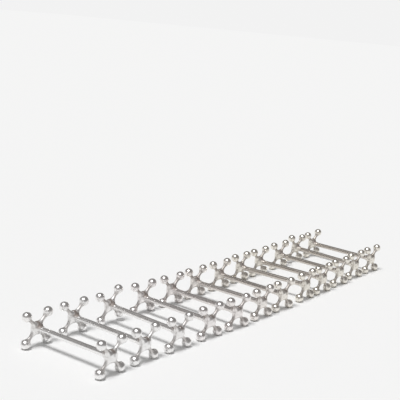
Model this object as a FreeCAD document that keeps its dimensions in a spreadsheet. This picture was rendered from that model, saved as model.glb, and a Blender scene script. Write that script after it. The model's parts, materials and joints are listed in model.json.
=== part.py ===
import FreeCAD, Part
import math
import os

import Sketcher
from FreeCAD import Placement, Rotation, Vector

# A set of twelve silver knife rests standing side by side in one row.
#
# Each rest is a plain round rod with a cast end soldered onto each tip.  A cast end is a
# cross of four arms with a ball on each, so that a rest stands on two balls at each end and
# is the same either way up.  The rests are separate and stand a little out of line, as if
# set down by hand.
#
# Frame: millimetres, +Z up, floor at Z = 0.  The rods run along X, the row runs along Y,
# and the origin is under the middle of the row.

SIZES = {
    "ball_gap": 19.0,          # between the centres of neighbouring balls of one end
    "ball_dia": 6.5,
    "waist": 4.3,              # from the hub's centre to the hollow side between two arms
    "hollow_radius": 6.5,      # of the hollow side between two arms
    "end_spacing": 65.5,       # between the two ends' middle planes
    "rod_dia": 3.8,
    "rod_past_centre": 1.0,    # how far the rod's tip reaches beyond an end's middle plane
    "collar_root_dia": 5.8,    # the short cone that carries the rod into the hub
    "collar_tip_dia": 4.6,
    "collar_length": 5.5,      # from an end's middle plane to the collar's tip
}

# Where each rest stands: its shift along X, its place along Y, its turn about Z in degrees,
# and how many degrees its back end was soldered out of line with its front end.
RESTS = [
    (-1.0, -185.0, 0.0, 0.0),
    (-1.0, -151.5, -1.0, 0.0),
    (0.5, -117.0, -2.0, 8.5),
    (1.0, -81.0, -3.0, 0.0),
    (2.5, -48.5, -3.5, 0.0),
    (2.0, -15.5, -1.0, 0.0),
    (2.0, 17.0, -3.5, 0.0),
    (0.5, 53.0, 1.0, -1.5),
    (0.0, 83.5, -0.5, 0.0),
    (-1.0, 118.0, -3.0, 0.0),
    (-3.0, 151.5, -3.0, -6.0),
    (-3.0, 184.5, -2.5, 2.5),
]
REST_VALUES = ("shift", "station", "turn", "twist")

FULL_TURN = 360                # degrees
ARM_COUNT = 4
ARM_SLANT = 45                 # degrees, from an arm to the level
SOCKET_OVERRUN = 1             # how far the socket's cut runs on past the collar's open end
VOLUME_TOLERANCE = 0.01        # cubic millimetres, between two castings

doc = FreeCAD.newDocument("knife_rests")


def fill_sheet():
    """Put every driving dimension into one spreadsheet, one aliased cell to a value."""
    sheet = doc.addObject("Spreadsheet::Sheet", "dims")
    values = dict(SIZES)
    for number, rest in enumerate(RESTS, start=1):
        for name, value in zip(REST_VALUES, rest):
            values[f"{name}_{number:02d}"] = value
    for row, (alias, value) in enumerate(values.items(), start=1):
        sheet.set(f"A{row}", alias)
        sheet.set(f"B{row}", str(value))
        sheet.setAlias(f"B{row}", alias)
    doc.recompute()


def origin_plane(body, role):
    """The body's own origin plane of that role."""
    return next(item for item in body.Origin.OriginFeatures if item.Role == role)


def add_sketch(body, name, role, offset=None):
    """A new sketch of the body on one of its origin planes."""
    sketch = body.newObject("Sketcher::SketchObject", name)
    sketch.AttachmentSupport = (origin_plane(body, role), [""])
    sketch.MapMode = "FlatFace"
    if offset is not None:
        sketch.AttachmentOffset = offset
    return sketch


def drive(sketch, kind, references, name, start_value, formula):
    """Add a dimension that starts at its present value and then follows the spreadsheet."""
    index = sketch.addConstraint(Sketcher.Constraint(kind, *references, start_value))
    sketch.renameConstraint(index, name)
    sketch.setExpression(f"Constraints.{name}", formula)


def arc(centre, radius, start, end):
    """A sketch arc that runs anticlockwise from the angle start to the angle end."""
    circle = Part.Circle(Vector(*centre, 0), Vector(0, 0, 1), radius)
    return Part.ArcOfCircle(circle, start, end)


def line(start, end):
    return Part.LineSegment(Vector(*start, 0), Vector(*end, 0))


def meeting_angles(hollow, hollow_radius, reach, ball_radius):
    """Where the hollow neck runs into the ball: the angle seen from each arc's centre."""
    along, across = reach - hollow, -hollow
    gap = math.hypot(along, across)
    towards_ball = math.atan2(across, along)
    cosine = (gap**2 + hollow_radius**2 - ball_radius**2) / (2 * gap * hollow_radius)
    from_hollow = towards_ball - math.acos(cosine)
    meet_along = hollow + hollow_radius * math.cos(from_hollow)
    meet_across = hollow + hollow_radius * math.sin(from_hollow)
    return from_hollow, math.atan2(meet_across, meet_along - reach)


def draw_arm(sketch):
    """Half the outline of one arm with its ball, with the arm's axis along the sketch's X.

    The outline goes up the core's end, along the core, through the hollow neck and over
    the ball.  The hollow is centred as far above the axis as it is along it, because two
    neighbouring arms share it.
    """
    radius = SIZES["hollow_radius"]
    ball_radius = SIZES["ball_dia"] / 2
    reach = SIZES["ball_gap"] / math.sqrt(2)
    core_length = SIZES["waist"] / math.sqrt(2)
    hollow_at = (SIZES["waist"] + radius) / math.sqrt(2)
    neck_end, ball_end = meeting_angles(hollow_at, radius, reach, ball_radius)
    sketch.addGeometry([
        line((0, 0), (0, core_length)),
        line((0, core_length), (core_length, core_length)),
        arc((hollow_at, hollow_at), radius, -0.75 * math.pi, neck_end),
        arc((reach, 0), ball_radius, 0, ball_end),
        line((reach + ball_radius, 0), (0, 0)),
    ], False)
    core, top, neck, ball, axis = 0, 1, 2, 3, 4
    begin, finish, centre = 1, 2, 3
    joints = [(core, finish, top, begin), (top, finish, neck, begin),
              (neck, finish, ball, finish), (ball, begin, axis, begin),
              (axis, finish, core, begin), (core, begin, -1, 1)]
    for joint in joints:
        sketch.addConstraint(Sketcher.Constraint("Coincident", *joint))
    sketch.addConstraint(Sketcher.Constraint("Vertical", core))
    sketch.addConstraint(Sketcher.Constraint("Horizontal", top))
    sketch.addConstraint(Sketcher.Constraint("Horizontal", axis))
    sketch.addConstraint(Sketcher.Constraint("PointOnObject", ball, centre, -1))
    hollow_formula = "(dims.waist + dims.hollow_radius) / sqrt(2)"
    drive(sketch, "DistanceX", (-1, 1, neck, centre), "hollow_along", hollow_at,
          hollow_formula)
    drive(sketch, "DistanceY", (-1, 1, neck, centre), "hollow_across", hollow_at,
          hollow_formula)
    drive(sketch, "Radius", (neck,), "hollow_radius", radius, "dims.hollow_radius")
    drive(sketch, "DistanceX", (core, finish, top, finish), "core_length", core_length,
          "dims.waist / sqrt(2)")
    drive(sketch, "DistanceX", (-1, 1, ball, centre), "ball_reach", reach,
          "dims.ball_gap / sqrt(2)")
    drive(sketch, "Radius", (ball,), "ball_radius", ball_radius, "dims.ball_dia / 2")


def add_arms(body):
    """Turn the arm's outline into one round arm, and repeat it around the rod's axis."""
    diagonal = Placement(Vector(0, 0, 0), Rotation(Vector(0, 0, 1), ARM_SLANT))
    sketch = add_sketch(body, "arm_outline", "YZ_Plane", diagonal)
    draw_arm(sketch)
    arm = body.newObject("PartDesign::Revolution", "arm")
    arm.Profile = sketch
    arm.ReferenceAxis = (sketch, ["H_Axis"])
    arm.Angle = FULL_TURN
    arms = body.newObject("PartDesign::PolarPattern", "arms")
    arms.Originals = [arm]
    arms.Axis = (origin_plane(body, "X_Axis"), [""])
    arms.Angle = FULL_TURN
    arms.Occurrences = ARM_COUNT
    body.Tip = arms


def add_collar(body):
    """The short cone around the rod, on the hub's inner side."""
    sketch = add_sketch(body, "collar_outline", "XZ_Plane")
    root_radius = SIZES["collar_root_dia"] / 2
    tip_radius = SIZES["collar_tip_dia"] / 2
    length = SIZES["collar_length"]
    sketch.addGeometry([
        line((0, 0), (0, root_radius)),
        line((0, root_radius), (length, tip_radius)),
        line((length, tip_radius), (length, 0)),
        line((length, 0), (0, 0)),
    ], False)
    root, slope, tip, axis = 0, 1, 2, 3
    begin, finish = 1, 2
    joints = [(root, finish, slope, begin), (slope, finish, tip, begin),
              (tip, finish, axis, begin), (axis, finish, root, begin),
              (root, begin, -1, 1)]
    for joint in joints:
        sketch.addConstraint(Sketcher.Constraint("Coincident", *joint))
    sketch.addConstraint(Sketcher.Constraint("Vertical", root))
    sketch.addConstraint(Sketcher.Constraint("Vertical", tip))
    sketch.addConstraint(Sketcher.Constraint("Horizontal", axis))
    drive(sketch, "DistanceY", (root, begin, root, finish), "root_radius", root_radius,
          "dims.collar_root_dia / 2")
    drive(sketch, "DistanceY", (tip, finish, tip, begin), "tip_radius", tip_radius,
          "dims.collar_tip_dia / 2")
    drive(sketch, "DistanceX", (-1, 1, tip, finish), "reach", length,
          "dims.collar_length")
    collar = body.newObject("PartDesign::Revolution", "collar")
    collar.Profile = sketch
    collar.ReferenceAxis = (sketch, ["H_Axis"])
    collar.Angle = FULL_TURN
    body.Tip = collar


def draw_rod_circle(sketch):
    """The rod's round outline, centred on the sketch's origin."""
    radius = SIZES["rod_dia"] / 2
    sketch.addGeometry(Part.Circle(Vector(0, 0, 0), Vector(0, 0, 1), radius), False)
    sketch.addConstraint(Sketcher.Constraint("Coincident", 0, 3, -1, 1))
    drive(sketch, "Diameter", (0,), "thickness", SIZES["rod_dia"], "dims.rod_dia")


def add_socket(body):
    """The blind hole that the rod's tip is soldered into."""
    sketch = add_sketch(body, "socket_outline", "YZ_Plane")
    sketch.setExpression("AttachmentOffset.Base.z", "-dims.rod_past_centre")
    draw_rod_circle(sketch)
    socket = body.newObject("PartDesign::Pocket", "socket")
    socket.Profile = sketch
    socket.Reversed = True
    depth = f"dims.rod_past_centre + dims.collar_length + {SOCKET_OVERRUN}"
    socket.setExpression("Length", depth)
    body.Tip = socket


def add_rod(body):
    """The rod, long enough to reach the bottom of both sockets."""
    sketch = add_sketch(body, "rod_outline", "YZ_Plane")
    reach = "(dims.end_spacing / 2 + dims.rod_past_centre)"
    sketch.setExpression("AttachmentOffset.Base.z", f"-{reach}")
    draw_rod_circle(sketch)
    rod = body.newObject("PartDesign::Pad", "rod")
    rod.Profile = sketch
    rod.setExpression("Length", f"2 * {reach}")
    body.Tip = rod


def place(body, number, side):
    """Bind the body's placement to its rest's cells.

    side is 0 for the rod, -1 for the back end and +1 for the front end.  A back end that
    is twisted out of line stands on one foot, which lifts its hub and tips the rod.
    """
    turn, twist = f"dims.turn_{number:02d}", f"dims.twist_{number:02d}"
    half_gap = "dims.ball_gap / 2"
    rise = f"({half_gap} * sqrt(2) * sin({ARM_SLANT} + abs({twist})) - {half_gap})"
    tip = f"asin({rise} / dims.end_spacing)"
    reach = f"{side} * dims.end_spacing / 2"
    across = f"dims.shift_{number:02d} + {reach} * cos({turn}) * cos({tip})"
    along = f"dims.station_{number:02d} + {reach} * sin({turn}) * cos({tip})"
    height = f"{half_gap} + dims.ball_dia / 2 + {rise} / 2 - {reach} * sin({tip})"
    angles = f"{turn}; {tip}; {twist if side < 0 else 0}"
    if side > 0:
        angles = f"{turn} + 180; -{tip}; 0"
    body.setExpression("Placement.Base.x", across)
    body.setExpression("Placement.Base.y", along)
    body.setExpression("Placement.Base.z", height)
    body.setExpression("Placement.Rotation", f"create(<<rotation>>; {angles})")


def make_body(name, number, side, *steps):
    """One sub-part: a body made by those steps and placed in its rest."""
    body = doc.addObject("PartDesign::Body", name)
    body.Label = name
    for step in steps:
        step(body)
    place(body, number, side)
    return body


def make_rest(number):
    """The three pieces of one rest."""
    rest = f"rest_{number:02d}"
    return [
        make_body(f"{rest}_rod", number, 0, add_rod),
        make_body(f"{rest}_back_end", number, -1, add_arms, add_collar, add_socket),
        make_body(f"{rest}_front_end", number, 1, add_arms, add_collar, add_socket),
    ]


def check(bodies):
    """Stop if anything failed to build, or if two castings differ."""
    for item in doc.Objects:
        for state in ("Invalid", "Error"):
            if state in item.State:
                raise RuntimeError(f"{item.Name} is {state}")
    for body in bodies:
        if body.Shape.isNull() or not body.Shape.isValid() or len(body.Shape.Solids) != 1:
            raise RuntimeError(f"{body.Label} is not one valid solid")
    castings = [body for body in bodies if body.Label.endswith("_end")]
    for body in castings:
        arms, collar, socket = body.Group[-5], body.Group[-3], body.Tip
        grows = arms.Shape.Volume < collar.Shape.Volume
        if not grows or socket.Shape.Volume >= collar.Shape.Volume:
            raise RuntimeError(f"the collar or the socket of {body.Label} did nothing")
        if abs(socket.Shape.Volume - castings[0].Tip.Shape.Volume) > VOLUME_TOLERANCE:
            raise RuntimeError(f"{body.Label} differs from the other castings")


fill_sheet()
subparts = []
for rest_number in range(1, len(RESTS) + 1):
    subparts += make_rest(rest_number)
doc.recompute()
check(subparts)
os.makedirs("parts", exist_ok=True)
for subpart in subparts:
    subpart.Shape.exportStep(f"parts/{subpart.Label}.step")
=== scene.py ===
"""Twelve silver knife rests in a row on white studio paper.

Each rest is a round rod between two cast ends.  The casting is modelled once, as a smooth
implicit surface around its hub, and a copy of it is set in place for every cast end of the
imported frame, exactly where that end's CAD node stands.  All lengths are metres.
"""
import json
import math

import bmesh
import bpy
import numpy as np
from mathutils import Matrix, Vector, noise

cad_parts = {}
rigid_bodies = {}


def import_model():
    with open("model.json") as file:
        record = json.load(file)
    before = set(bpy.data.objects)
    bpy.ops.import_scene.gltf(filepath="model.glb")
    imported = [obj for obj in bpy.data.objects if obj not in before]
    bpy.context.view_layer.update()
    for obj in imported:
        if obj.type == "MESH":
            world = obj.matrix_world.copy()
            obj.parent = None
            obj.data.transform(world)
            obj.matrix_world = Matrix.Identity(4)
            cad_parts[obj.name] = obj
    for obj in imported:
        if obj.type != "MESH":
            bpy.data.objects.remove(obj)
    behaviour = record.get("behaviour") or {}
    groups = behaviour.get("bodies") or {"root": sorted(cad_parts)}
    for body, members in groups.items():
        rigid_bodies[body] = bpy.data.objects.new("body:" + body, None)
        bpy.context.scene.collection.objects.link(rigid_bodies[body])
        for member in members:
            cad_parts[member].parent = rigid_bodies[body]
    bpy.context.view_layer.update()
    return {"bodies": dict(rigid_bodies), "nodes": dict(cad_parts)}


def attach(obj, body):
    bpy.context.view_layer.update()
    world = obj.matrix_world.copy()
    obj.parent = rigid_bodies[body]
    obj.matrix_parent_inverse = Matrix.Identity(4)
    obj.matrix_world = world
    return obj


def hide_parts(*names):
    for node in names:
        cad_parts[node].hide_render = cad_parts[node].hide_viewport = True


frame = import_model()

MM = 0.001

# One rest, as in the frame.
BALL_RADIUS = 3.25 * MM
BALL_OFFSET = 9.5 * MM          # of a ball's centre from the rod's axis, along Y and along Z
WAIST = 4.3 * MM                # from the hub's centre to the hollow side between two arms
HOLLOW_RADIUS = 6.5 * MM        # of that hollow side
ROD_RADIUS = 1.9 * MM
ROD_PAST_HUB = 1.0 * MM         # the rod reaches this far beyond the hub's centre
COLLAR_ROOT_RADIUS = 2.9 * MM
COLLAR_TIP_RADIUS = 2.3 * MM
COLLAR_LENGTH = 5.5 * MM

# Sizes that follow from those.
BALL_REACH = BALL_OFFSET * math.sqrt(2)      # of a ball's centre from the hub's
CORE_RADIUS = WAIST / math.sqrt(2)
HOLLOW_CENTRE = (WAIST + HOLLOW_RADIUS) / math.sqrt(2)

# How soft the casting's inner corners are.
ARM_BLEND = 1.0 * MM
BALL_BLEND = 1.0 * MM
COLLAR_BLEND = 1.2 * MM

# The casting's mesh: a rough closed one, moved onto the implicit surface.
CAST_CELL = 0.42 * MM           # size of the mesh's cells
BALL_SUBDIVISIONS = 4
ROUND_SEGMENTS = 32
ARM_TIP_SHARE = 0.35            # of the core's radius, at the rough arm's tip
SLOPE_STEP = 0.02 * MM
SETTLE_ROUNDS = 8
LONGEST_MOVE = 0.3 * MM         # of a point in one round
LEAST_SLOPE_SQUARED = 0.05
LEAST_LENGTH = 1e-12            # so that a point already in place doesn't divide by nothing
FILING_DEPTH = 0.05 * MM        # how far hand filing moves a casting's surface
FILING_SCALE = 260
FILING_STEP = Vector((3.7, 1.3, 0.7))        # in the noise, from one casting to the next
FILING_SEED = 1                 # without one, the noise vectors differ from run to run
BALL_TIP_SHARE = 0.9            # of a ball's radius: what lies farther out is its tip

# The bar's mesh.
BAR_SEGMENTS = 40
BAR_RINGS = 121
BAR_TUCK = 0.6 * MM             # how far the bar runs on inside each collar
FILLET_LENGTH = 1.1 * MM        # of the solder where the bar leaves the collar
FILLET_HEIGHT = 0.22 * MM
FILLET_POWER = 2.2
BAR_DENT_DEPTH = 0.025 * MM
BAR_DENT_SCALE = 90


# ---------------------------------------------------------------- small helpers

def smoothstep(low, high, value):
    """0 at low, 1 at high and smooth between; low may be the larger of the two."""
    share = np.clip((value - low) / (high - low), 0, 1)
    return share * share * (3 - 2 * share)


def link(obj):
    bpy.context.scene.collection.objects.link(obj)
    return obj


def vertex_array(mesh):
    flat = np.empty(len(mesh.vertices) * 3)
    mesh.vertices.foreach_get("co", flat)
    return flat.reshape(-1, 3)


# ---------------------------------------------------------------- the casting's surface

def smooth_union(first, second, blend):
    """Two distance fields joined with a fillet of about that size."""
    share = np.clip(0.5 + 0.5 * (second - first) / blend, 0, 1)
    return second + share * (first - second) - blend * share * (1 - share)


def arm_directions():
    """From the hub's centre to each ball: the four diagonals of the YZ plane."""
    half = math.sqrt(0.5)
    return [np.array((0, y * half, z * half)) for y in (1, -1) for z in (1, -1)]


def arm_field(points, direction):
    """Distance to one round arm, whose hollow side is a circle turned about its axis."""
    along = points @ direction
    across = np.linalg.norm(points - np.outer(along, direction), axis=1)
    neck = HOLLOW_RADIUS - np.hypot(along - HOLLOW_CENTRE, across - HOLLOW_CENTRE)
    return np.maximum.reduce([neck, across - CORE_RADIUS, -along, along - BALL_REACH])


def ball_field(points, direction):
    return np.linalg.norm(points - direction * BALL_REACH, axis=1) - BALL_RADIUS


def collar_field(points):
    """Distance to the cone that carries the rod into the hub."""
    along = points[:, 0]
    across = np.hypot(points[:, 1], points[:, 2])
    narrowing = COLLAR_ROOT_RADIUS - COLLAR_TIP_RADIUS
    radius = COLLAR_ROOT_RADIUS - narrowing * along / COLLAR_LENGTH
    return np.maximum.reduce([across - radius, -along, along - COLLAR_LENGTH])


def casting_field(points):
    """Distance to the whole cast end, negative inside the metal."""
    field = arm_field(points, arm_directions()[0])
    for direction in arm_directions()[1:]:
        field = smooth_union(field, arm_field(points, direction), ARM_BLEND)
    field = smooth_union(field, collar_field(points), COLLAR_BLEND)
    for direction in arm_directions():
        field = smooth_union(field, ball_field(points, direction), BALL_BLEND)
    return field


def field_slope(points):
    """The direction in which the casting's field grows, by central differences."""
    slope = np.empty_like(points)
    for axis in range(3):
        shift = np.zeros(3)
        shift[axis] = SLOPE_STEP
        rise = casting_field(points + shift) - casting_field(points - shift)
        slope[:, axis] = rise / (2 * SLOPE_STEP)
    return slope


def settle(points):
    """Move the points onto the casting's surface, by Newton's method with short moves."""
    for _ in range(SETTLE_ROUNDS):
        slope = field_slope(points)
        squared = np.maximum((slope ** 2).sum(axis=1), LEAST_SLOPE_SQUARED)
        move = (casting_field(points) / squared)[:, None] * slope
        length = np.maximum(np.linalg.norm(move, axis=1), LEAST_LENGTH)
        move *= np.minimum(1, LONGEST_MOVE / length)[:, None]
        points = points - move
    return points


# ---------------------------------------------------------------- the casting's mesh

def add_rough_arm(mesh, direction):
    """A ball, and a cone between it and the hub."""
    direction = Vector(direction)
    turn = direction.to_track_quat("Z", "Y").to_matrix().to_4x4()
    ball_place = Matrix.Translation(direction * BALL_REACH)
    bmesh.ops.create_icosphere(mesh, subdivisions=BALL_SUBDIVISIONS, radius=BALL_RADIUS,
                               matrix=ball_place)
    middle = Matrix.Translation(direction * BALL_REACH / 2)
    bmesh.ops.create_cone(mesh, cap_ends=True, segments=ROUND_SEGMENTS, radius1=CORE_RADIUS,
                          radius2=ARM_TIP_SHARE * CORE_RADIUS, depth=BALL_REACH,
                          matrix=middle @ turn)


def add_rough_collar(mesh):
    centre = Matrix.Translation(Vector((COLLAR_LENGTH / 2, 0, 0)))
    bmesh.ops.create_cone(mesh, cap_ends=True, segments=ROUND_SEGMENTS,
                          radius1=COLLAR_ROOT_RADIUS, radius2=COLLAR_TIP_RADIUS,
                          depth=COLLAR_LENGTH,
                          matrix=centre @ Matrix.Rotation(math.pi / 2, 4, "Y"))


def rough_casting():
    """A closed mesh near the casting's surface: balls, arms and collar remeshed into one."""
    mesh = bmesh.new()
    for direction in arm_directions():
        add_rough_arm(mesh, direction)
    add_rough_collar(mesh)
    data = bpy.data.meshes.new("rough_casting")
    mesh.to_mesh(data)
    mesh.free()
    obj = link(bpy.data.objects.new("rough_casting", data))
    remesh = obj.modifiers.new("remesh", "REMESH")
    remesh.mode = "VOXEL"
    remesh.voxel_size = CAST_CELL
    graph = bpy.context.evaluated_depsgraph_get()
    cells = bpy.data.meshes.new_from_object(obj.evaluated_get(graph))
    bpy.data.objects.remove(obj)
    return cells


def store_share(mesh, name, share):
    """Keep a number from 0 to 1 for each point, for the materials to read."""
    attribute = mesh.attributes.new(name, "FLOAT", "POINT")
    attribute.data.foreach_set("value", share.astype(np.float32))


HOLLOW_WEAR = 0.52              # the most wear in the hollows
OUTER_FACE_WEAR = 0.25          # and in those on the polished outer face

# Where each kind of tarnish, and the painted shade on the arms and in the crotch, begins and
# where it is full.
OUTER_FACE = (-0.3 * MM, -1.6 * MM)          # along the rod from the hub's centre
HOLLOW = (-0.2 * MM, 2.5 * MM)               # off the nearest ball
ARM_FROM_HUB = (4.8 * MM, 7.2 * MM)
ARM_FROM_BALL = (0.1 * MM, 0.6 * MM)
SOLDER_FROM_COLLAR = (1.8 * MM, 0.4 * MM)
SOLDER_HEIGHT = (0.2 * MM, 2.2 * MM)         # above the rod's axis
CROTCH_HEIGHT = (1.7 * MM, 3.3 * MM)
CROTCH_SIDE = (1.9 * MM, 0.7 * MM)           # to either side of the rod's axis


def store_tarnish_and_shade(mesh, points):
    """Where tarnish gathers, in the hollows and at the solder, and where shade is painted, with
    some tarnish, on the arms and in the crotch over the rod.
    """
    along, across, above = points.T
    off_ball = np.min([ball_field(points, direction) for direction in arm_directions()], axis=0)
    off_hub = np.linalg.norm(points, axis=1)
    outer_face = smoothstep(*OUTER_FACE, along)
    most = HOLLOW_WEAR - (HOLLOW_WEAR - OUTER_FACE_WEAR) * outer_face
    store_share(mesh, "hollow", smoothstep(*HOLLOW, off_ball) * most)
    # Painted shade, with some tarnish, on each arm's outer part, away from the hub and from the
    # balls.
    arm = smoothstep(*ARM_FROM_HUB, off_hub) * smoothstep(*ARM_FROM_BALL, off_ball)
    store_share(mesh, "arm", arm)
    by_collar = smoothstep(*SOLDER_FROM_COLLAR, collar_field(points))
    solder = by_collar * smoothstep(*SOLDER_HEIGHT, above)
    # Tarnish and painted shade in the crotch over the rod, where the upper arms meet.
    crotch = smoothstep(*CROTCH_HEIGHT, above) * smoothstep(*CROTCH_SIDE, np.abs(across))
    store_share(mesh, "joint", np.maximum(solder, crotch))


def build_casting():
    """The casting's mesh around its hub: rod along +X, arms in the YZ plane."""
    mesh = rough_casting()
    points = settle(vertex_array(mesh))
    mesh.vertices.foreach_set("co", points.ravel())
    store_tarnish_and_shade(mesh, points)
    mesh.shade_smooth()
    mesh.update()
    mesh.name = "casting"
    return mesh


# ---------------------------------------------------------------- the bar

def bar_radius(x, visible):
    """The bar's radius at x, flaring in the solder next to each collar."""
    from_collar = max(visible - abs(x), 0)
    flare = max(0.0, 1 - from_collar / FILLET_LENGTH)
    return ROD_RADIUS + FILLET_HEIGHT * flare ** FILLET_POWER


def bar_ring(mesh, x, radius):
    """One ring of the bar's points, shallowly dented."""
    ring = []
    for index in range(BAR_SEGMENTS):
        angle = 2 * math.pi * index / BAR_SEGMENTS
        y, z = math.cos(angle), math.sin(angle)
        dent = noise.noise(Vector((x * BAR_DENT_SCALE, y, z))) * BAR_DENT_DEPTH
        ring.append(mesh.verts.new((x, (radius + dent) * y, (radius + dent) * z)))
    return ring


def build_bar(length):
    """The visible part of the rod between two hubs that far apart, along X."""
    mesh = bmesh.new()
    visible = length / 2 - COLLAR_LENGTH
    rings = []
    for share in np.linspace(-1, 1, BAR_RINGS):
        x = share * (visible + BAR_TUCK)
        rings.append(bar_ring(mesh, x, bar_radius(x, visible)))
    for left, right in zip(rings, rings[1:]):
        for here in range(BAR_SEGMENTS):
            after = (here + 1) % BAR_SEGMENTS
            mesh.faces.new((left[here], right[here], right[after], left[after]))
    mesh.faces.new(rings[0])
    mesh.faces.new(list(reversed(rings[-1])))
    bmesh.ops.recalc_face_normals(mesh, faces=mesh.faces)
    data = bpy.data.meshes.new("bar")
    mesh.to_mesh(data)
    mesh.free()
    data.shade_smooth()
    return data


# ---------------------------------------------------------------- where the frame puts each piece

def rod_line(name):
    """The middle, direction and length of a rod, from its CAD node."""
    points = vertex_array(frame["nodes"][name].data)
    middle = (points.min(axis=0) + points.max(axis=0)) / 2
    direction = np.linalg.svd(points - middle, full_matrices=False)[2][0]
    direction *= np.sign(direction[0])
    length = np.ptp((points - middle) @ direction)
    return middle, direction, length


def end_matrix(name, hub, inward):
    """The place of a cast end: X towards the rod, Z as near up as the rod allows.

    Its four balls are a quarter turn apart, so the mean of four times their angle gives
    how far the end is twisted on its rod.
    """
    side = np.cross((0, 0, 1), inward)
    side /= np.linalg.norm(side)
    up = np.cross(inward, side)
    points = vertex_array(frame["nodes"][name].data) - hub
    across, above = points @ side, points @ up
    tips = np.hypot(across, above) > BALL_REACH + BALL_TIP_SHARE * BALL_RADIUS
    angles = np.arctan2(above[tips], across[tips])
    twist = np.angle(-np.exp(4j * angles).mean()) / 4
    place = Matrix.Identity(4)
    for column, vector in enumerate((inward, side, up, hub)):
        place.col[column][:3] = vector
    return place @ Matrix.Rotation(twist, 4, "X")


# ---------------------------------------------------------------- shader nodes

# ShaderNodeMix gives the same names to its sockets of every kind, so these go by number.
MIX_FIRST_COLOUR = 6
MIX_SECOND_COLOUR = 7
MIX_COLOUR_RESULT = 2


def grey(value):
    return (value, value, value, 1)


def node(tree, kind, **inputs):
    """A new shader node with some of its inputs set."""
    made = tree.nodes.new(kind)
    for name, value in inputs.items():
        made.inputs[name].default_value = value
    return made


def feed(tree, socket, value):
    """Give an input socket a value: another node's output, or a number or colour."""
    if isinstance(value, bpy.types.NodeSocket):
        tree.links.new(value, socket)
    else:
        socket.default_value = value


def new_material(name):
    """A material, its node tree and its shader."""
    material = bpy.data.materials.new(name)
    material.use_nodes = True
    return material, material.node_tree, material.node_tree.nodes["Principled BSDF"]


def object_coordinates(tree):
    return tree.nodes.new("ShaderNodeTexCoord").outputs["Object"]


def ramp(tree, source, low, high, low_colour, high_colour):
    """A colour ramp between two stops, fed by source."""
    made = tree.nodes.new("ShaderNodeValToRGB")
    stops = made.color_ramp.elements
    stops[0].position, stops[0].color = low, low_colour
    stops[1].position, stops[1].color = high, high_colour
    tree.links.new(source, made.inputs["Fac"])
    return made.outputs["Color"]


def noise_value(tree, coordinates, scale, detail, roughness):
    """A noise pattern in space, from 0 to 1."""
    made = node(tree, "ShaderNodeTexNoise", Scale=scale, Detail=detail, Roughness=roughness)
    tree.links.new(coordinates, made.inputs["Vector"])
    return made.outputs["Fac"]


def stretched(tree, coordinates, scale):
    """Coordinates scaled differently along each axis; a low scale stretches the pattern."""
    made = node(tree, "ShaderNodeMapping", Scale=scale)
    tree.links.new(coordinates, made.inputs["Vector"])
    return made.outputs["Vector"]


def maths(tree, operation, *values):
    """One arithmetic node; each value is a socket or a number."""
    made = tree.nodes.new("ShaderNodeMath")
    made.operation = operation
    for socket, value in zip(made.inputs, values):
        feed(tree, socket, value)
    return made.outputs["Value"]


def scaled_sum(tree, value, factor, base):
    """base plus factor times value."""
    return maths(tree, "MULTIPLY_ADD", value, factor, base)


def mix_colours(tree, share, first, second):
    """first where share is 0, second where it is 1."""
    made = tree.nodes.new("ShaderNodeMix")
    made.data_type = "RGBA"
    feed(tree, made.inputs["Factor"], share)
    feed(tree, made.inputs[MIX_FIRST_COLOUR], first)
    feed(tree, made.inputs[MIX_SECOND_COLOUR], second)
    return made.outputs[MIX_COLOUR_RESULT]


def bump(tree, height, distance, strength, normal=None):
    """A bumped normal, on top of another one if that is given."""
    made = node(tree, "ShaderNodeBump", Distance=distance, Strength=strength)
    tree.links.new(height, made.inputs["Height"])
    if normal is not None:
        tree.links.new(normal, made.inputs["Normal"])
    return made.outputs["Normal"]


def point_value(tree, name):
    """A value stored on the mesh's points."""
    made = tree.nodes.new("ShaderNodeAttribute")
    made.attribute_name = name
    return made.outputs["Fac"]


def object_value(tree, name):
    """A value stored on the object, so that one material can differ from rest to rest."""
    made = tree.nodes.new("ShaderNodeAttribute")
    made.attribute_type = "OBJECT"
    made.attribute_name = name
    return made.outputs["Fac"]


# ---------------------------------------------------------------- the silver

SILVER = (0.92, 0.917, 0.914, 1)
WARM_SILVER = (0.89, 0.875, 0.86, 1)
BLUSHED_SILVER = (0.885, 0.851, 0.844, 1)       # reddish, on the rests in the middle
AGED_SILVER = (0.86, 0.826, 0.758, 1)           # yellowed, on the far ones
BLUSHED_ROD = (0.80, 0.766, 0.752, 1)
# darker and yellower, on the far rests
DARKER_FAR_ROD = (0.60, 0.555, 0.505, 1)
# brown tarnish, also the colour of the painted shade on the arms
TARNISH_AND_ARM_SHADE = (0.40, 0.368, 0.346, 1)
# dark tarnish at the solder, and painted shade in the crotch over the rod
SOLDER_TARNISH_AND_CROTCH_SHADE = (0.33, 0.292, 0.272, 1)

TARNISH_AND_SHADE_AMOUNT = 0.85           # how much of a fully marked spot the tarnish and the arms' painted shade cover
LEAST_SPOT = 0.1                # the share of the wear that shows between tarnish spots
FULL_SPOT = 0.9                 # and in them
ARM_TARNISH_AND_SHADE = 0.48                 # tarnish and painted shade on a new rest's arms
ARM_TARNISH_AND_SHADE_WITH_BLUSH = 0.35      # and how much more on a reddish one's

# Noise patterns: features per metre, detail and roughness.
CAST_PATCHES = (70, 3, 0.55)
CAST_SMEARS = (260, 4, 0.55)
CAST_BLOTCHES = (420, 5, 0.6)
CAST_DENTS = (330, 2, 0.55)
CAST_SCRATCHES = (3500, 3, 0.7)
ROD_PATCHES = (60, 3, 0.55)
ROD_SMEARS = (240, 4, 0.55)
ROD_SCRATCHES = (4200, 3, 0.65)
KNIFE_MARKS = (1700, 2, 0.5)

# How far each pattern is stretched, as scales along X, Y and Z; the rods lie nearly along X.
ALONG_ROD = (0.06, 1.0, 1.0)
ACROSS_ROD = (1.0, 0.08, 0.08)

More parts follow.
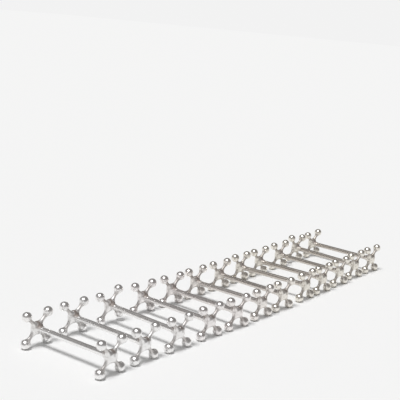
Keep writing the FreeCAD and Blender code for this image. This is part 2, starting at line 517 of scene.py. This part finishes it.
# The noise values between which a pattern goes from none to full.
PATCH_STOPS = (0.35, 0.7)
SPOT_STOPS = (0.48, 0.70)
KNIFE_MARK_STOPS = (0.62, 0.72)

# Bumps: height and strength.
CAST_DENT_BUMP = (0.04 * MM, 0.6)
CAST_SCRATCH_BUMP = (0.004 * MM, 0.5)
ROD_SCRATCH_BUMP = (0.004 * MM, 0.4)
KNIFE_MARK_BUMP = (0.01 * MM, 0.15)

# Roughness: the polished metal's own, and what smears and each kind of wear add.
CAST_ROUGHNESS = 0.22
CAST_SMEAR_ROUGHNESS = 0.12
HOLLOW_ROUGHNESS = 0.20
ARM_ROUGHNESS = 0.12
TARNISH_ROUGHNESS = 0.2
JOINT_ROUGHNESS = 0.32
ROD_ROUGHNESS = 0.23
ROD_SMEAR_ROUGHNESS = 0.10


def tinted_silver(tree, coordinates, patch_pattern, blushed, aged):
    """Silver in warm and cool patches, tinted by how reddish and how yellowed the rest is."""
    patches = noise_value(tree, coordinates, *patch_pattern)
    silver = ramp(tree, patches, *PATCH_STOPS, SILVER, WARM_SILVER)
    silver = mix_colours(tree, object_value(tree, "blush"), silver, blushed)
    return mix_colours(tree, object_value(tree, "age"), silver, aged)


def tarnish_and_shade_share(tree, coordinates, hollow, arm):
    """How much tarnish and painted shade cover the metal: tarnish spots in the hollows, and
    tarnish with painted shade on the outer part of the arms.
    """
    blotches = noise_value(tree, coordinates, *CAST_BLOTCHES)
    spots = ramp(tree, blotches, *SPOT_STOPS, grey(LEAST_SPOT), grey(FULL_SPOT))
    in_hollows = maths(tree, "MULTIPLY", hollow, spots)
    arm_tarnish_and_shade = scaled_sum(tree, object_value(tree, "blush"), ARM_TARNISH_AND_SHADE_WITH_BLUSH, ARM_TARNISH_AND_SHADE)
    on_arms = maths(tree, "MULTIPLY", arm, arm_tarnish_and_shade)
    share = maths(tree, "MAXIMUM", in_hollows, on_arms)
    return maths(tree, "MULTIPLY", share, TARNISH_AND_SHADE_AMOUNT)


def casting_material():
    """Old polished silver plate, with tarnish where it gathers, painted shade on the arms and in
    the crotch, small dents and scratches.
    """
    material, tree, shader = new_material("cast_silver")
    coordinates = object_coordinates(tree)
    hollow = point_value(tree, "hollow")
    arm = point_value(tree, "arm")
    joint = point_value(tree, "joint")
    # Tarnish spots in the hollows, and tarnish with painted shade on the arms.
    share = tarnish_and_shade_share(tree, coordinates, hollow, arm)
    colour = tinted_silver(tree, coordinates, CAST_PATCHES, BLUSHED_SILVER, AGED_SILVER)
    colour = mix_colours(tree, share, colour, TARNISH_AND_ARM_SHADE)
    # Dark tarnish at the solder, and painted shade in the crotch.
    colour = mix_colours(tree, joint, colour, SOLDER_TARNISH_AND_CROTCH_SHADE)
    tree.links.new(colour, shader.inputs["Base Color"])
    shader.inputs["Metallic"].default_value = 1.0
    smears = noise_value(tree, coordinates, *CAST_SMEARS)
    roughness = scaled_sum(tree, smears, CAST_SMEAR_ROUGHNESS, CAST_ROUGHNESS)
    roughness = scaled_sum(tree, hollow, HOLLOW_ROUGHNESS, roughness)
    roughness = scaled_sum(tree, arm, ARM_ROUGHNESS, roughness)
    roughness = scaled_sum(tree, share, TARNISH_ROUGHNESS, roughness)
    roughness = scaled_sum(tree, joint, JOINT_ROUGHNESS, roughness)
    tree.links.new(roughness, shader.inputs["Roughness"])
    dents = noise_value(tree, coordinates, *CAST_DENTS)
    scratches = noise_value(tree, coordinates, *CAST_SCRATCHES)
    normal = bump(tree, dents, *CAST_DENT_BUMP)
    normal = bump(tree, scratches, *CAST_SCRATCH_BUMP, normal)
    tree.links.new(normal, shader.inputs["Normal"])
    return material


def bar_material():
    """The drawn rod: the same silver, with fine scratches along it and knife marks across."""
    material, tree, shader = new_material("rod_silver")
    coordinates = object_coordinates(tree)
    silver = tinted_silver(tree, coordinates, ROD_PATCHES, BLUSHED_ROD, DARKER_FAR_ROD)
    tree.links.new(silver, shader.inputs["Base Color"])
    shader.inputs["Metallic"].default_value = 1.0
    smears = noise_value(tree, coordinates, *ROD_SMEARS)
    roughness = scaled_sum(tree, smears, ROD_SMEAR_ROUGHNESS, ROD_ROUGHNESS)
    tree.links.new(roughness, shader.inputs["Roughness"])
    scratches = noise_value(tree, stretched(tree, coordinates, ALONG_ROD), *ROD_SCRATCHES)
    marks = noise_value(tree, stretched(tree, coordinates, ACROSS_ROD), *KNIFE_MARKS)
    deep_marks = ramp(tree, marks, *KNIFE_MARK_STOPS, grey(0), grey(1))
    normal = bump(tree, scratches, *ROD_SCRATCH_BUMP)
    normal = bump(tree, deep_marks, *KNIFE_MARK_BUMP, normal)
    tree.links.new(normal, shader.inputs["Normal"])
    return material


# ---------------------------------------------------------------- the rests

def hand_finish(points, serial):
    """Move the points a few hundredths of a millimetre, as filing and polishing by hand do."""
    offset = serial * FILING_STEP
    moves = [noise.noise_vector(Vector(point) * FILING_SCALE + offset) for point in points]
    return points + np.array(moves) * FILING_DEPTH


def place_piece(mesh, node_name, body, material, tints):
    """Make a visible piece of a mesh that is in its place, and hide its CAD node."""
    mesh.materials.append(material)
    piece = link(bpy.data.objects.new(mesh.name, mesh))
    piece["blush"], piece["age"] = tints
    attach(piece, body)
    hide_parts(node_name)


def place_casting(node_name, body, hub, inward, serial, tints):
    """A copy of the casting, hand finished, where its CAD node stands."""
    own = casting.copy()
    own.name = node_name.replace("_end", "_casting")
    points = hand_finish(vertex_array(own), serial)
    place = np.array(end_matrix(node_name, hub, inward))
    points = points @ place[:3, :3].T + place[:3, 3]
    own.vertices.foreach_set("co", points.ravel())
    own.update()
    place_piece(own, node_name, body, cast_silver, tints)


def place_bar(node_name, body, middle, direction, tints):
    """A copy of the bar where its CAD node stands."""
    own = bar.copy()
    own.name = node_name.replace("_rod", "_bar")
    turn = Vector(direction).to_track_quat("X", "Z").to_matrix().to_4x4()
    own.transform(Matrix.Translation(Vector(middle)) @ turn)
    place_piece(own, node_name, body, rod_silver, tints)


BLUSH_RESTS = (2, 5)            # the rests between which the silver turns reddish
AGE_RESTS = (4, 8.5)            # and those between which it turns yellow


def tints_of(number):
    """How reddish and how yellowed a rest is, 0 to 1: the farther along the row, the more."""
    blush = smoothstep(*BLUSH_RESTS, number)
    age = smoothstep(*AGE_RESTS, number)
    return float(blush), float(age)


def build_rest(body, number):
    """One rest's three pieces, set in place from the frame."""
    middle, direction, length = rod_line(f"{body}_rod")
    reach = length / 2 - ROD_PAST_HUB
    tints = tints_of(number)
    place_bar(f"{body}_rod", body, middle, direction, tints)
    for side, end in ((-1, "back_end"), (1, "front_end")):
        hub = middle + direction * reach * side
        serial = 2 * number + side
        place_casting(f"{body}_{end}", body, hub, -side * direction, serial, tints)


# ---------------------------------------------------------------- the studio

WHITE = 0.91                    # how bright the lit paper is
SKY = 0.89                      # and the backdrop, which is a little darker
KEY_SHARE = 0.65                # how much of the paper's light is the key light's
PAPER = 0.90                    # the paper's own whiteness
PAPER_FIBRES = (900, 3, 0.55)   # noise: features per metre, detail and roughness
FIBRE_STOPS = (0.3, 0.7)
FIBRE_BLUE = 0.995              # the blue left in the slightly yellower fibres
KEY_DIRECTION = Vector((0.02, -0.37, 1.00))      # towards the key light
KEY_ANGLE = math.radians(17)
SOFTBOX_DIRECTION = Vector((0.08, -0.52, 1.00))  # the softbox as the silver reflects it
SOFTBOX_CORE = math.radians(13)
SOFTBOX_EDGE = math.radians(34)
SOFTBOX_GLOW = 1.55
ROOM_LOW = 0.02                 # heights on the unit sphere between which the room darkens
ROOM_HIGH = 0.42
ROOM_WALL = (0.40, 0.3905, 0.387, 1)
ROOM_CEILING = (0.22, 0.2115, 0.207, 1)
FLOOR_SIZE = 40.0

# The camera; the point it looks at is measured from the row's middle.
CAMERA_AIM = Vector((-0.1386, 0.1330, 0.0432))
CAMERA_DISTANCE = 0.893
CAMERA_HEADING = math.radians(125.53)    # of the line of sight, from +X
CAMERA_DIP = math.radians(11.42)         # of the line of sight, below level
CAMERA_ROLL = math.radians(5.08)
CAMERA_LENS_MM = 80.1
CAMERA_SENSOR_MM = 36.0


def build_floor():
    """Plain white studio paper."""
    bpy.ops.mesh.primitive_plane_add(size=FLOOR_SIZE)
    floor = bpy.context.object
    floor.name = "studio_paper"
    material, tree, shader = new_material("studio_paper")
    fibres = noise_value(tree, object_coordinates(tree), *PAPER_FIBRES)
    yellower = (PAPER, PAPER, PAPER * FIBRE_BLUE, 1)
    white = ramp(tree, fibres, *FIBRE_STOPS, grey(PAPER), yellower)
    tree.links.new(white, shader.inputs["Base Color"])
    shader.inputs["Roughness"].default_value = 1.0
    shader.inputs["Specular IOR Level"].default_value = 0.0
    floor.data.materials.append(material)


def build_key_light():
    """A wide sun, as strong as the paper's brightness asks."""
    light = bpy.data.lights.new("key", "SUN")
    light.angle = KEY_ANGLE
    light.energy = math.pi * WHITE * KEY_SHARE / PAPER / KEY_DIRECTION.normalized().z
    lamp = link(bpy.data.objects.new("key", light))
    lamp.rotation_euler = KEY_DIRECTION.to_track_quat("Z", "Y").to_euler()


def reflected_room(tree):
    """What the silver reflects: a dim room, lighter low down, and one large softbox."""
    direction = tree.nodes.new("ShaderNodeTexCoord").outputs["Generated"]
    height = tree.nodes.new("ShaderNodeSeparateXYZ")
    tree.links.new(direction, height.inputs["Vector"])
    room = ramp(tree, height.outputs["Z"], ROOM_LOW, ROOM_HIGH, ROOM_WALL, ROOM_CEILING)
    towards = tree.nodes.new("ShaderNodeVectorMath")
    towards.operation = "DOT_PRODUCT"
    tree.links.new(direction, towards.inputs[0])
    towards.inputs[1].default_value = SOFTBOX_DIRECTION.normalized()
    softbox = ramp(tree, towards.outputs["Value"], math.cos(SOFTBOX_EDGE),
                   math.cos(SOFTBOX_CORE), grey(0), grey(1))
    return mix_colours(tree, softbox, room, grey(SOFTBOX_GLOW))


def build_room():
    """The world: an even fill on the paper, the backdrop, and the room in reflections."""
    world = bpy.data.worlds.new("room")
    bpy.context.scene.world = world
    world.use_nodes = True
    world.cycles.sampling_method = "NONE"
    tree = world.node_tree
    path = tree.nodes.new("ShaderNodeLightPath")
    fill = grey(WHITE * (1 - KEY_SHARE) / PAPER)
    colour = mix_colours(tree, path.outputs["Is Glossy Ray"], fill, reflected_room(tree))
    colour = mix_colours(tree, path.outputs["Is Camera Ray"], colour, grey(SKY))
    tree.links.new(colour, tree.nodes["Background"].inputs["Color"])


def build_camera():
    """The camera, aimed along its heading and dip and then rolled about its line of sight."""
    forward = Vector((math.cos(CAMERA_DIP) * math.cos(CAMERA_HEADING),
                      math.cos(CAMERA_DIP) * math.sin(CAMERA_HEADING),
                      -math.sin(CAMERA_DIP)))
    level = Vector((math.sin(CAMERA_HEADING), -math.cos(CAMERA_HEADING), 0))
    above = level.cross(forward)
    right = math.cos(CAMERA_ROLL) * level + math.sin(CAMERA_ROLL) * above
    up = right.cross(forward)
    eye = CAMERA_AIM - CAMERA_DISTANCE * forward
    place = Matrix.Identity(4)
    for column, vector in enumerate((right, up, -forward, eye)):
        place.col[column][:3] = vector
    lens = bpy.data.cameras.new("camera")
    lens.lens = CAMERA_LENS_MM
    lens.sensor_width = CAMERA_SENSOR_MM
    camera = link(bpy.data.objects.new("camera", lens))
    camera.matrix_world = place
    bpy.context.scene.camera = camera


# ---------------------------------------------------------------- the scene

noise.seed_set(FILING_SEED)
casting = build_casting()
cast_silver = casting_material()
rod_silver = bar_material()
bodies = sorted(frame["bodies"])
bar = build_bar(rod_line(f"{bodies[0]}_rod")[2] - 2 * ROD_PAST_HUB)
for number, body in enumerate(bodies, start=1):
    build_rest(body, number)
build_floor()
build_key_light()
build_room()
build_camera()
scene = bpy.context.scene
scene.view_settings.view_transform = "Standard"
scene.cycles.caustics_reflective = True
